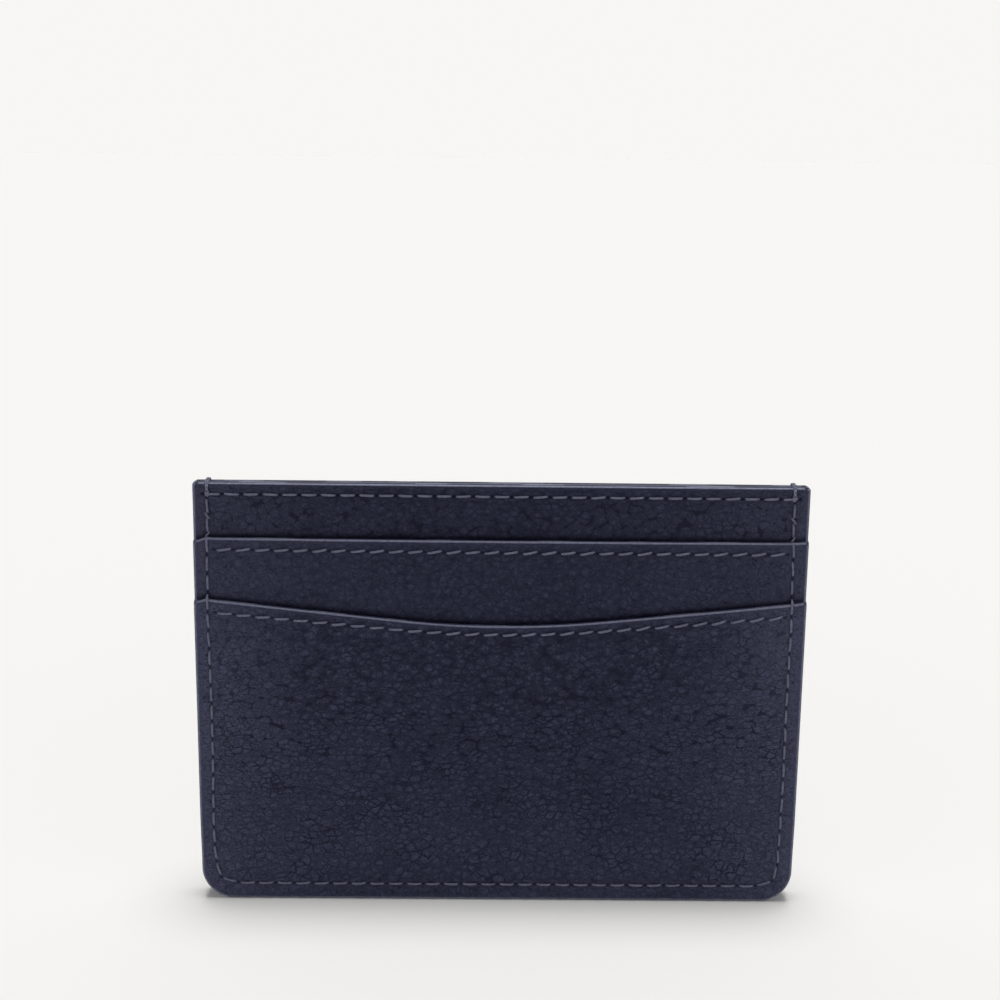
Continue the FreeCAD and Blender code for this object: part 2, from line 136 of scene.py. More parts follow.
def mouthHeight(ply, x):
    x = np.asarray(x, dtype=float)
    if ply == "base":
        return np.full_like(x, height)
    level = dippedLine(x, outerMouthEnd, mouthShape["slope"]) if ply == "outer" else middleMouth
    droop = np.where(x < 0, *mouthShape["droop"])
    return level - droop * smooth(np.abs(x), halfWidth - mouthShape["droopReach"], halfWidth)


def rowHeight(ply, x):
    x = np.asarray(x, dtype=float)
    if ply == "outer":
        slope = mouthShape["slope"] * mouthShape["rowSlope"]
        return dippedLine(x, outerMouthEnd - seams["outerRowDrop"], slope)
    return np.full_like(x, mouthLevel[ply] - seams["rowDrop"])


def seamDepth(ply, z):
    # depth of the ply's inner face at the side seams
    if ply != "outer":
        return np.full_like(z, panelBox[ply]["near"])
    return outerSeamDepth - (outerSeamDepth - outer["near"]) * np.clip(1 - z / stopLevel, 0, 1)


def bowAt(ply, z):
    if ply == "base":
        return bow["base"] * z / height
    atStop = bow["base"] * stopLevel / height
    above = atStop + (bow[ply] - atStop) * (z - stopLevel) / (mouthLevel[ply] - stopLevel)
    return np.where(z < stopLevel, atStop * z / stopLevel, above)


def innerDepth(ply, x, z):
    x, z = np.asarray(x, dtype=float), np.asarray(z, dtype=float)
    arch = np.clip(1 - (x / halfWidth) ** 2, 0, 1)
    return seamDepth(ply, z) + bowAt(ply, z) * arch


# ---- where the stitches go

def seamWander(x, z):
    # how far the hand-guided side seams stray outwards
    left = 0.20 + 0.13 * np.sin(z / 8 + 0.8)
    right = 0.11 * np.sin(z / 9 + 2.2)
    return np.where(np.asarray(x) < 0, left, right) * smooth(z, 3, 14)


def outlinePath():
    margin, radius = seams["lowMargin"], seams["cornerRadius"] - seams["margin"]
    start = height - seams["startDrop"]
    straight = start - margin - radius
    bend = radius * math.pi / 2
    across = 2 * (seamX - radius)
    length = 2 * straight + 2 * bend + across

    def place(distance):
        x, z = plain(min(distance, length - distance))
        x = -x if distance > length / 2 else x
        return x + math.copysign(float(seamWander(x, z)), x), z

    def plain(distance):
        if distance < straight:
            return -seamX, start - distance
        if distance < straight + bend:
            turn = (distance - straight) / radius
            return radius - seamX - radius * math.cos(turn), margin + radius - radius * math.sin(turn)
        return radius - seamX + distance - straight - bend, margin

    return place, length


def rowPath(ply):
    reach = seamX + (1 if ply == "base" else -1) * seams["rowReach"]
    return (lambda distance: (distance - reach, float(rowHeight(ply, distance - reach)))), 2 * reach


def needleHoles(path, length):
    count = round(length / seams["pitch"])
    return [path(length * number / count) for number in range(count + 1)]


rowHoles = {ply: needleHoles(*rowPath(ply)) for ply in panelBox}
outlineHoles = needleHoles(*outlinePath())


def plyAt(x, z):
    if z < float(mouthHeight("outer", x)):
        return "outer"
    return "middle" if z < float(mouthHeight("middle", x)) else "base"


def seamDistance(ply, x, z):
    # distance to the nearest stitch line on this ply's face
    faraway = 9.0
    across = np.abs(x) - seamWander(x, z)
    rowEnd = seamX + (1.2 if ply == "base" else -0.6)
    row = np.where(across > rowEnd, faraway, np.abs(z - rowHeight(ply, x)))
    radius = seams["cornerRadius"] - seams["margin"]
    cornerX, cornerZ = seamX - radius, seams["lowMargin"] + radius
    inCorner = (across > cornerX) & (z < cornerZ)
    ring = np.abs(np.hypot(across - cornerX, z - cornerZ) - radius)
    side = np.where(z > height - 2.2, faraway, np.abs(across - seamX))
    lowRow = np.abs(z - seams["lowMargin"])
    straight = np.minimum(side, np.where(across < cornerX, lowRow, faraway))
    return np.minimum(row, np.where(inCorner, ring, straight))


def edgeDistance(ply, x, z):
    # distance to the ply's cut edge
    cornerX = halfWidth - plyCorner
    inCorner = (np.abs(x) > cornerX) & (z < plyCorner)
    ring = plyCorner - np.hypot(np.abs(x) - cornerX, z - plyCorner)
    straight = halfWidth - np.abs(x)
    if ply != "middle":
        straight = np.minimum(np.where(inCorner, ring, straight), z)
    return np.minimum(straight, mouthHeight(ply, x) - z)


def holeCloseness(ply, x, z, reach):
    # 1 in a needle hole's middle, falling to 0 around it
    near = np.zeros_like(x)
    holes = rowHoles[ply] + [hole for hole in outlineHoles if plyAt(*hole) == ply]
    for holeX, holeZ in holes:
        close = (np.abs(x - holeX) < 3 * reach) & (np.abs(z - holeZ) < 3 * reach)
        spot = np.exp(-((x[close] - holeX) ** 2 + (z[close] - holeZ) ** 2) / reach ** 2)
        near[close] = np.maximum(near[close], spot)
    return near


relief = {
    "seamValley": 0.15,    # leather pulled down along a stitch line
    "seamReach": 0.75,
    "edgeRound": 0.16,     # the face turns in at a cut edge
    "edgeReach": 0.4,
    "hole": {"base": 0.24, "middle": 0.12, "outer": 0.12},
    "holeReach": 0.22,
    # how much painted shade fills each needle hole
    "holeShade": {"base": 0.85, "middle": 0.55, "outer": 0.55},
    "creaseIn": 0.62,      # the painted shade line where the edge coat ends on the face
    "sway": 0.05,          # slow unevenness of soft leather
    "pressed": 0.12,       # hollow worn behind the mouth of the pocket in front
    "pressedDrop": 0.5,    # its middle is this far below that mouth
    "pressedReach": 1.2,
}
phases = {"base": 0.4, "middle": 2.2, "outer": 4.1}


def mouthBehind(ply, x, z):
    # how far above (+) or below (-) the mouth of the pocket in front of this ply
    return z - mouthHeight({"base": "middle", "middle": "outer"}[ply], x)


def faceDepth(ply, x, z, side=-1, fine=True):
    # depth of the ply's outer face, with its seams, edges and slow unevenness
    x, z = np.asarray(x, dtype=float), np.asarray(z, dtype=float)
    depth = innerDepth(ply, x, z) + leather[ply]
    depth = depth - relief["seamValley"] * np.exp(-(seamDistance(ply, x, z) / relief["seamReach"]) ** 2)
    away = np.maximum(edgeDistance(ply, x, z), 0)
    depth = depth - relief["edgeRound"] * np.exp(-(away / relief["edgeReach"]) ** 2)
    depth = depth + relief["sway"] * ripple(x, z, 7.0, phases[ply] + side) * smooth(away, 1, 6)
    if ply != "outer":
        below = mouthBehind(ply, x, z) + relief["pressedDrop"]
        pressed = np.exp(-(below / relief["pressedReach"]) ** 2)
        depth = depth - relief["pressed"] * pressed * smooth(away, 2.5, 6)
    if fine:
        depth = depth - relief["hole"][ply] * holeCloseness(ply, x, z, relief["holeReach"])
    return depth


# ---- small helpers for modelling

def cleanSelection():
    if bpy.context.object and bpy.context.object.mode != "OBJECT":
        bpy.ops.object.mode_set(mode="OBJECT")
    bpy.ops.object.select_all(action="DESELECT")


def pick(piece):
    cleanSelection()
    piece.select_set(True)
    bpy.context.view_layer.objects.active = piece


def joined(pieces):
    pick(pieces[0])
    for piece in pieces[1:]:
        piece.select_set(True)
    bpy.ops.object.join()
    return pieces[0]


def applyAll(piece):
    pick(piece)
    for modifier in list(piece.modifiers):
        bpy.ops.object.modifier_apply(modifier=modifier.name)


def points(piece):
    places = np.empty(len(piece.data.vertices) * 3)
    piece.data.vertices.foreach_get("co", places)
    return places.reshape(-1, 3)


def movePoints(piece, places):
    piece.data.vertices.foreach_set("co", np.ascontiguousarray(places, dtype=np.float32).ravel())
    piece.data.update()


def paintAttribute(piece, name, values):
    layer = piece.data.attributes.get(name) or piece.data.attributes.new(name, "FLOAT", "POINT")
    layer.data.foreach_set("value", np.ascontiguousarray(values, dtype=np.float32))


def readAttribute(piece, name):
    values = np.empty(len(piece.data.vertices), dtype=np.float32)
    piece.data.attributes[name].data.foreach_get("value", values)
    return values


def finishPiece(piece, name, material, replaced, smoothAngle=50):
    pick(piece)
    piece.name = piece.data.name = name
    bpy.ops.object.mode_set(mode="EDIT")
    bpy.ops.mesh.select_all(action="SELECT")
    bpy.ops.mesh.normals_make_consistent(inside=False)
    bpy.ops.object.mode_set(mode="OBJECT")
    bpy.ops.transform.resize(value=(mm, mm, mm), center_override=(0, 0, 0))
    bpy.ops.object.transform_apply(location=True, rotation=True, scale=True)
    bpy.ops.object.shade_smooth_by_angle(angle=math.radians(smoothAngle))
    piece.data.materials.clear()
    piece.data.materials.append(material)
    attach(piece, "root")
    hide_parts(*replaced)
    return piece


def feed(tree, node, inputs):
    # gives each input its value, or links it to another node's output
    for name, value in inputs.items():
        if isinstance(value, bpy.types.NodeSocket):
            tree.links.new(value, node.inputs[name])
        else:
            node.inputs[name].default_value = value


def addNode(tree, kind, inputs=None, **settings):
    fresh = tree.nodes.new(kind)
    for name, value in settings.items():
        setattr(fresh, name, value)
    feed(tree, fresh, inputs or {})
    return fresh


def blendNumbers(tree, operation, first, second):
    return addNode(tree, "ShaderNodeMath", {0: first, 1: second}, operation=operation).outputs[0]


def larger(tree, first, second):
    return blendNumbers(tree, "MAXIMUM", first, second)


def splitVector(tree, vector):
    return addNode(tree, "ShaderNodeSeparateXYZ", {0: vector}).outputs


def times(tree, *factors):
    product = factors[0]
    for factor in factors[1:]:
        product = blendNumbers(tree, "MULTIPLY", product, factor)
    return product


def noise(tree, place, scale, detail, roughness=0.5, output="Fac"):
    inputs = {"Vector": place, "Scale": scale, "Detail": detail, "Roughness": roughness}
    return addNode(tree, "ShaderNodeTexNoise", inputs).outputs[output]


def combine(tree, operation, first, second):
    # blendNumbers, but for vectors
    return addNode(tree, "ShaderNodeVectorMath", {0: first, 1: second}, operation=operation).outputs[0]


def enlarge(tree, vector, scale):
    return addNode(tree, "ShaderNodeVectorMath", {0: vector, "Scale": scale}, operation="SCALE").outputs[0]


def remap(tree, value, low, high, newLow=0.0, newHigh=1.0, kind="SMOOTHSTEP"):
    inputs = {"Value": value, "From Min": low, "From Max": high, "To Min": newLow, "To Max": newHigh}
    return addNode(tree, "ShaderNodeMapRange", inputs, interpolation_type=kind).outputs["Result"]


# ---- pebbled leather: the same pattern shapes the mesh and colours it

pebble = {
    "cell": (1.65, 1.9, 1.22),   # mm: a little wider than tall
    "size": {"base": 0.80, "middle": 0.75, "outer": 0.95},
    "strength": {"base": 0.9, "middle": 0.8, "outer": 1.0},
    "stretch": 0.25,             # pebbles are flatter halfway up and rounder low down
    "swell": 0.11,               # how fast that comes and goes, radians a mm
    "bend": 0.42,                # how crooked the creases run
    "crease": 0.17,              # share of a pebble that slopes into its creases
    "wrinkleScale": 2.2,         # finer pebbles between the large ones
    "depth": 0.17,               # mm, crease to pebble top
    "level": 0.7,                # the height that stays where the smooth face was
    "fineDepth": 0.20,           # mm, finer relief that only the finish holds
}
grainShift = {"base": (3.1, 0.0, 7.7), "middle": (19.4, 5.0, 2.3), "outer": (41.2, 11.0, 13.9)}


def pebbleHeight(tree, place, shift, size):
    # the height, at most 1, then the creases, the pebble tops and the pits where creases meet
    x, y, z = splitVector(tree, place)
    turn = times(tree, z, pebble["swell"])
    wave = addNode(tree, "ShaderNodeMath", {0: turn}, operation="SINE").outputs[0]
    flattened = times(tree, wave, -pebble["stretch"] / pebble["swell"])
    upright = blendNumbers(tree, "ADD", z, flattened)
    still = addNode(tree, "ShaderNodeCombineXYZ", {0: x, 1: y, 2: upright}).outputs[0]
    cell = [1 / (length * size) for length in pebble["cell"]]
    moved = combine(tree, "ADD", combine(tree, "MULTIPLY", still, cell), shift)
    cloud = noise(tree, moved, 1.3, 2.0, output="Color")
    centred = combine(tree, "SUBTRACT", cloud, (0.5, 0.5, 0.5))
    bent = combine(tree, "ADD", moved, enlarge(tree, centred, pebble["bend"] * 2))

    def cells(scale, feature="DISTANCE_TO_EDGE"):
        inputs = {"Vector": bent, "Scale": scale}
        return addNode(tree, "ShaderNodeTexVoronoi", inputs, feature=feature).outputs["Distance"]

    edges = cells(1.0)
    middles = cells(1.0, "F1")
    wrinkles = cells(pebble["wrinkleScale"])
    broken = noise(tree, moved, 0.7, 2.0)
    patches = noise(tree, moved, 0.17, 1.0)
    crease = times(tree, remap(tree, edges, 0.0, pebble["crease"], 1.0, 0.0),
                   times(tree, remap(tree, broken, 0.33, 0.58, 0.4, 1.0),
                         remap(tree, patches, 0.35, 0.65, 0.75, 1.0)))
    fold = times(tree, remap(tree, wrinkles, 0.0, 0.2, 1.0, 0.0), remap(tree, broken, 0.40, 0.60, 0.55, 0.15))
    top = remap(tree, middles, 0.15, 0.62, 1.0, 0.0)
    corner = remap(tree, middles, 0.64, 0.84)
    lowered = larger(tree, times(tree, crease, 0.6), fold)
    lowered = larger(tree, lowered, times(tree, corner, 0.7))
    total = blendNumbers(tree, "ADD", times(tree, top, 0.4), 0.6)
    total = blendNumbers(tree, "SUBTRACT", total, lowered)
    return total, larger(tree, crease, fold), top, corner


def grainModifier(piece, shift, size):
    tree = bpy.data.node_groups.new(f"{piece.name}Grain", "GeometryNodeTree")
    for way in ("INPUT", "OUTPUT"):
        tree.interface.new_socket("Geometry", in_out=way, socket_type="NodeSocketGeometry")
    entry, leave = addNode(tree, "NodeGroupInput"), addNode(tree, "NodeGroupOutput")
    place = addNode(tree, "GeometryNodeInputPosition").outputs[0]
    total = pebbleHeight(tree, place, shift, size)[0]
    amount = addNode(tree, "GeometryNodeInputNamedAttribute", {"Name": "grain"}, data_type="FLOAT")
    lift = times(tree, blendNumbers(tree, "SUBTRACT", total, pebble["level"]), amount.outputs["Attribute"],
                 pebble["depth"])
    normal = addNode(tree, "GeometryNodeInputNormal").outputs[0]
    push = enlarge(tree, normal, lift)
    moved = addNode(tree, "GeometryNodeSetPosition", {"Geometry": entry.outputs[0], "Offset": push})
    tree.links.new(moved.outputs[0], leave.inputs[0])
    modifier = piece.modifiers.new("grain", "NODES")
    modifier.node_group = tree
    applyAll(piece)
    bpy.data.node_groups.remove(tree)


leatherLook = {
    "deep": (0.0030, 0.0037, 0.0105, 1.0),
    "low": (0.0288, 0.0318, 0.0620, 1.0),
    "high": (0.0362, 0.0400, 0.0755, 1.0),     # the dye is cloudy between low and high
    "top": (0.0570, 0.0615, 0.1080, 1.0),      # lighter tone: burnished pebble tops with a painted highlight, rubbed blotches and worn cut edges
    "paleSidesAndBounce": (0.0800, 0.0850, 0.1420, 1.0),  # lighter towards the sides, and low down a painted glow of light bounced from the floor
    "shade": {"base": 0.73, "middle": 0.77, "outer": 1.0},     # painted shade: the plies behind are toned darker, as the pockets in front shade them
    "rubbed": {"base": 0.42, "middle": 0.36, "outer": 0.26},   # share of the lighter blotches
    "stains": {"base": 0.40, "middle": 0.34, "outer": 0.32},   # and of the darker ones
    "creaseShade": {"base": 0.58, "middle": 0.55, "outer": 0.84},     # how dark the painted shade in the creases is
    "spots": {"base": 0.85, "middle": 0.60, "outer": 0.90},    # and the painted shade in the pits where creases meet
    "specks": {"base": 0.45, "middle": 0.45, "outer": 0.60},   # dark pores
    "upper": 0.36,                             # painted shade: the outer pocket darkens towards its mouth
    "burnishAndHighlight": 0.9,                               # how far pebble tops are lightened, burnished and with a painted highlight
    "edgeWear": 0.4,
    "pores": 0.6,                              # height of the pores against the pebbles
    "rough": (0.42, 0.58),
    "specular": 0.10,
    "sheen": (0.72, 0.76, 1.0, 1.0),           # tint of the dyed surface's reflection
}


def newMaterial(name):
    material = bpy.data.materials.new(name)
    material.use_nodes = True
    tree = material.node_tree
    tree.nodes.clear()
    surface = addNode(tree, "ShaderNodeBsdfPrincipled")
    addNode(tree, "ShaderNodeOutputMaterial", {"Surface": surface.outputs[0]})
    coordinates = addNode(tree, "ShaderNodeTexCoord").outputs["Object"]
    return material, tree, surface, enlarge(tree, coordinates, 1 / mm)


def addBump(tree, surface, height, strength, depth):
    inputs = {"Height": height, "Strength": strength, "Distance": depth * mm}
    feed(tree, surface, {"Normal": addNode(tree, "ShaderNodeBump", inputs).outputs[0]})


def mixColour(tree, amount, first, second):
    # the mix node's sockets for colours are inputs 6 and 7 and output 2
    inputs = {0: amount, 6: first, 7: second}
    return addNode(tree, "ShaderNodeMix", inputs, data_type="RGBA").outputs[2]


def plyShaded(name, ply):
    # a leather colour with this ply's painted shade
    return tuple(value * leatherLook["shade"][ply] for value in leatherLook[name][:3]) + (1.0,)


def pebbleShift(ply, side):
    # so that no two panels show the same pebbles
    return tuple(value + 5.3 * (side + 1) for value in grainShift[ply])


def toneAndPaintedLight(tree, ply, place):
    # the base tone: cloudy dye, paler at the sides, painted floor-bounce light low down and painted shade
    # towards the outer mouth
    clouds = noise(tree, place, 0.08, 3.0)
    tone = mixColour(tree, remap(tree, clouds, 0.3, 0.7), plyShaded("low", ply), plyShaded("high", ply))
    x, _, z = splitVector(tree, place)
    away = addNode(tree, "ShaderNodeMath", {0: x}, operation="ABSOLUTE").outputs[0]
    reach = blendNumbers(tree, "DIVIDE", away, halfWidth)
    # painted light bounced from the floor makes the lower part paler
    low = remap(tree, z, 24.0, 4.0, 0.0, 0.24)
    paleSidesAndBounce = larger(tree, blendNumbers(tree, "POWER", reach, 3.0), low)
    paleSidesAndBounce = times(tree, paleSidesAndBounce, remap(tree, clouds, 0.2, 0.8, 0.65, 0.95))
    tone = mixColour(tree, paleSidesAndBounce, tone, plyShaded("paleSidesAndBounce", ply))
    if ply == "outer":
        # painted shade on the outer pocket towards its mouth
        upper = remap(tree, z, 24.0, 42.0, 0.0, leatherLook["upper"])
        inner = remap(tree, reach, 0.55, 0.95, 1.0, 0.0)
        tone = mixColour(tree, times(tree, upper, inner), tone, leatherLook["deep"])
    return tone


def leatherMaterial(ply, side):
    material, tree, surface, place = newMaterial(f"navyLeather_{ply}_{side}")
    total, crease, top, corner = pebbleHeight(tree, place, pebbleShift(ply, side), pebble["size"][ply])
    grain, paintedShade, wear = [
        addNode(tree, "ShaderNodeAttribute", attribute_name=name).outputs["Fac"]
        for name in ("grain", "paintedShade", "wear")
    ]
    speckle = noise(tree, place, 1.7, 4.0, 0.65)
    flat = combine(tree, "MULTIPLY", place, (1.0, 1.0, 1.8))
    mottle = noise(tree, flat, 0.8, 4.0, 0.62)
    grit = noise(tree, flat, 2.6, 2.0, 0.6)
    pores = noise(tree, flat, 1.2, 2.0, 0.6)

    # lighter on pebble tops, burnished and with a painted highlight, and where it is rubbed
    tone = toneAndPaintedLight(tree, ply, place)
    burnishAndHighlight = times(tree, top, remap(tree, speckle, 0.35, 0.65), leatherLook["burnishAndHighlight"])
    tone = mixColour(tree, burnishAndHighlight, tone, plyShaded("top", ply))
    rubbed = remap(tree, mottle, 0.50, 0.66, 0.0, leatherLook["rubbed"][ply])
    tone = mixColour(tree, rubbed, tone, plyShaded("top", ply))

    # darker: painted shade in creases, the pits where they meet, needle holes, along seams and at the mouth
    # in front; and the leather's own stains and pores
    creaseShade = times(tree, crease, grain, leatherLook["creaseShade"][ply])
    spots = times(tree, corner, grain, leatherLook["spots"][ply])
    if ply == "outer":
        z = splitVector(tree, place)[2]
        spots = times(tree, spots, remap(tree, z, 14.0, 30.0, 0.25, 1.0))
    creaseShade = larger(tree, creaseShade, spots)
    stains = remap(tree, mottle, 0.50, 0.34, 0.0, leatherLook["stains"][ply])
    specks = remap(tree, grit, 0.47, 0.64, 0.0, leatherLook["specks"][ply])
    dark = larger(tree, creaseShade, paintedShade)
    dark = larger(tree, dark, blendNumbers(tree, "ADD", stains, specks))
    tone = mixColour(tree, dark, tone, leatherLook["deep"])

    tone = mixColour(tree, times(tree, wear, leatherLook["edgeWear"]), tone, leatherLook["top"])
    feed(tree, surface, {
        "Base Color": tone,
        "Roughness": remap(tree, speckle, 0.3, 0.7, *leatherLook["rough"], kind="LINEAR"),
        "Specular IOR Level": leatherLook["specular"],
        "Specular Tint": leatherLook["sheen"],
    })
    fine = blendNumbers(tree, "ADD", times(tree, pores, leatherLook["pores"]), times(tree, total, grain))
    addBump(tree, surface, fine, 1.0, pebble["fineDepth"])
    return material


# ---- the leather panels

panelGrid = {
    "column": {"base": 0.22, "middle": 0.22, "outer": 0.28},
    "row": 0.30,
    "fine": 0.15,        # rows along a line of stitches
    "coarse": 1.6,       # rows that another pocket covers
    "backStep": 4.0,
}


def graded(start, end, step, fineStep, fineSpots, reach=0.85):
    # places from start to end, closer together round the fine spots
    places, here = [start], start
    while here < end - 1e-6:
        close = any(abs(here - spot) < reach for spot in fineSpots)
        here = min(end, here + (fineStep if close else step(here)))
        places.append(here)
    if len(places) > 2 and places[-1] - places[-2] < 0.5 * fineStep:
        places.pop(-2)
    return np.array(places)


def placedGrid(columns, rows):
    # a flat grid that stands in XZ, with its lines at the given places
    cleanSelection()
    bpy.ops.mesh.primitive_grid_add(x_subdivisions=len(columns) - 1, y_subdivisions=len(rows) - 1, size=1)
    piece = bpy.context.object
    places = points(piece)
    column = np.rint((places[:, 0] + 0.5) * (len(columns) - 1)).astype(int)
    row = np.rint((places[:, 1] + 0.5) * (len(rows) - 1)).astype(int)
    movePoints(piece, np.stack([columns[column], np.zeros(len(column)), rows[row]], axis=1))
    return piece


def roundCorners(piece, centreX, centreZ, radius, up, steps=9):
    # bisects away what lies outside a rounded corner, left and right
    pick(piece)
    bpy.ops.object.mode_set(mode="EDIT")
    for hand in (-1, 1):
        for number in range(steps):
            angle = math.radians(90 * (number + 0.5) / steps)
            way = Vector((hand * math.cos(angle), 0, (1 if up else -1) * math.sin(angle)))
            spot = Vector((hand * centreX, 0, centreZ)) + way * radius
            bpy.ops.mesh.select_all(action="SELECT")
            bpy.ops.mesh.bisect(plane_co=spot, plane_no=way, clear_outer=True, threshold=1e-5)
    bpy.ops.object.mode_set(mode="OBJECT")


def setDepth(piece, side, depthAt):
    places = points(piece)
    places[:, 1] = side * depthAt(places[:, 0], places[:, 2])
    movePoints(piece, places)


def followMouth(piece, ply, bottom):
    # lifts or lowers the rows so that the upper edge runs along the mouth
    places = points(piece)
    share = smooth(places[:, 2], bottom + 12, mouthLevel[ply] - 4)
    places[:, 2] += share * (mouthHeight(ply, places[:, 0]) - mouthLevel[ply])
    movePoints(piece, places)


def faceLines(ply, bottom, level):
    # a face's columns and rows: close along the stitches, wide where another pocket covers it
    shown = {"base": middleMouth - 2.5, "middle": outerMouthEnd - 7.0, "outer": -1.0}[ply]
    columns = graded(-halfWidth, halfWidth, lambda x: panelGrid["column"][ply], panelGrid["fine"],
                     (-halfWidth, -seamX, seamX, halfWidth))
    fineRows = [level - seams["rowDrop"]] + ([seams["lowMargin"]] if ply == "outer" else [])
    rows = graded(bottom, level, lambda z: panelGrid["row"] if z > shown else panelGrid["coarse"],
                  panelGrid["fine"], fineRows)
    return columns, rows


def shapePanel(panel, ply, bottom, level):
    # rounds the panel's corners and brings its upper edge to the mouth
    if ply != "middle":
        roundCorners(panel, halfWidth - plyCorner, bottom + plyCorner, plyCorner, up=False)
    if ply == "base":
        shoulder = seams["shoulderRadius"]
        roundCorners(panel, halfWidth - shoulder, level - shoulder, shoulder, up=True)
    followMouth(panel, ply, bottom)


def closeShell(face, back):
    # joins the leather's two sides and closes the gap between their edges
    joined([face, back])
    bpy.ops.object.mode_set(mode="EDIT")
    bpy.ops.mesh.select_mode(type="EDGE")
    bpy.ops.mesh.select_all(action="DESELECT")
    bpy.ops.mesh.select_non_manifold()
    bpy.ops.mesh.bridge_edge_loops()
    bpy.ops.mesh.select_all(action="SELECT")
    bpy.ops.mesh.normals_make_consistent(inside=False)
    bpy.ops.object.mode_set(mode="OBJECT")


def paintLeather(face, ply):
    # grain: strength of the pebbles, paintedShade: painted shade in needle holes, along seams, by the side
    # edges and at the mouth in front, wear: how rubbed an edge is
    places, skin = points(face), readAttribute(face, "skin")
    x, z = places[:, 0], places[:, 2]
    away = np.maximum(edgeDistance(ply, x, z), 0)
    seam = seamDistance(ply, x, z)
    margin = smooth(np.abs(x), seamX - 0.2, seamX + 0.8)
    if ply == "outer":
        margin = np.maximum(margin, smooth(-z, -seams["lowMargin"], 0.9 - seams["lowMargin"]))
    grain = skin * smooth(away, 0.1, 0.7) * (1 - 0.55 * np.exp(-(seam / 0.6) ** 2)) * (1 - 0.3 * margin)
    grain = grain * pebble["strength"][ply]
    if ply == "outer":
        grain = grain * (1 - 0.25 * smooth(z, 24, 46))
    paintAttribute(face, "grain", grain)
    # painted shade in the needle holes and along the stitch lines, and a painted shade line in the crease by
    # the side edges
    paintedShade = relief["holeShade"][ply] * holeCloseness(ply, x, z, 0.24) + 0.5 * np.exp(-(seam / 0.34) ** 2)
    beside = halfWidth - np.abs(x) - relief["creaseIn"]
    paintedShade = paintedShade + 0.45 * np.exp(-(beside / 0.16) ** 2)
    # painted shadow cast by the mouth of the pocket in front
    if ply != "outer":
        paintedShade = paintedShade + 0.85 * np.exp(-(mouthBehind(ply, x, z) / 0.7) ** 2)
    paintAttribute(face, "paintedShade", np.clip(paintedShade, 0, 0.95) * skin)
    paintAttribute(face, "wear", np.exp(-(away / 0.8) ** 2) * skin)


def makeLeather(place, ply):
    side = sides[place]
    bottom, level = panelBox[ply]["bottom"], mouthLevel[ply]
    face = placedGrid(*faceLines(ply, bottom, level))
    paintAttribute(face, "skin", np.ones(len(face.data.vertices)))
    columns, rows = [int(length / panelGrid["backStep"]) + 1 for length in (2 * halfWidth, level - bottom)]
    back = placedGrid(np.linspace(-halfWidth, halfWidth, columns), np.linspace(bottom, level, rows))
    paintAttribute(back, "skin", np.zeros(len(back.data.vertices)))
    for panel in (face, back):
        shapePanel(panel, ply, bottom, level)
    setDepth(face, side, lambda x, z: faceDepth(ply, x, z, side))
    setDepth(back, side, lambda x, z: innerDepth(ply, x, z))
    closeShell(face, back)
    paintLeather(face, ply)
    grainModifier(face, pebbleShift(ply, side), pebble["size"][ply])
    node = f"{place}_{'base_panel' if ply == 'base' else ply + '_pocket'}"
    material = leatherMaterial(ply, side)
    return finishPiece(face, f"{place}{ply.capitalize()}Leather", material, [node])


# ---- linings: thin woven cloth glued behind every panel

liningLook = {"dark": (0.010, 0.011, 0.020, 1.0), "light": (0.022, 0.024, 0.038, 1.0), "threads": 3.2}
liningCut = {"inset": 0.25, "below": 0.3, "shoulder": 1.2, "step": 2.0}   # mm, below: under the mouth


def liningMaterial():
    material, tree, surface, place = newMaterial("wovenLining")
    inputs = {"Vector": place, "Scale": liningLook["threads"]}
    warp, weft = [
        addNode(tree, "ShaderNodeTexWave", inputs, wave_type="BANDS", bands_direction=way).outputs["Fac"]
        for way in "XZ"
    ]
    weave = times(tree, warp, weft)
    fuzz = noise(tree, place, 1.5, 3.0)
    # painted shade between the woven threads, lighter where warp and weft meet
    tone = mixColour(tree, times(tree, weave, fuzz), liningLook["dark"], liningLook["light"])
    feed(tree, surface, {"Base Color": tone, "Roughness": 0.85, "Sheen Weight": 0.2})
    addBump(tree, surface, weave, 0.8, 0.04)
    return material


def makeLining(place, ply, material):
    side = sides[place]
    node = f"{place}_base_lining" if ply == "base" else f"{place}_{ply}_pocket_lining"
    reach = halfWidth - liningCut["inset"]
    bottom, level = span(node)["bottom"] + liningCut["inset"], mouthLevel[ply] - liningCut["below"]
    columns, rows = [int(length / liningCut["step"]) + 1 for length in (2 * reach, level - bottom)]
    cloth = placedGrid(np.linspace(-reach, reach, columns), np.linspace(bottom, level, rows))
    if ply != "middle":
        corner = seams["cornerRadius"] - liningCut["inset"]
        roundCorners(cloth, reach - corner, bottom + corner, corner, up=False, steps=6)
    if ply == "base":
        shoulder = liningCut["shoulder"]
        roundCorners(cloth, reach - shoulder, level - shoulder, shoulder, up=True, steps=3)
    followMouth(cloth, ply, bottom)
    # the cloth's outer face is glued to the leather's inner one
    setDepth(cloth, side, lambda x, z: innerDepth(ply, x, z) - leather["lining"] * 0.5)
    solid = cloth.modifiers.new("thickness", "SOLIDIFY")
    solid.thickness = leather["lining"] * 0.9
    solid.offset = 0
    applyAll(cloth)
    finishPiece(cloth, f"{place}{ply.capitalize()}Lining", material, [node])
    return cloth


# ---- edge paint

paintLook = {
    "dark": (0.092, 0.098, 0.143, 1.0),
    "light": (0.140, 0.148, 0.208, 1.0),
    "paleTop": (0.260, 0.272, 0.370, 1.0),   # lighter along the top edge
    "paleTopFrom": 0.55,                     # mm below the top
    "rough": (0.34, 0.50),
    "specular": 0.3,
    "sheen": (0.75, 0.80, 1.0, 1.0),
}


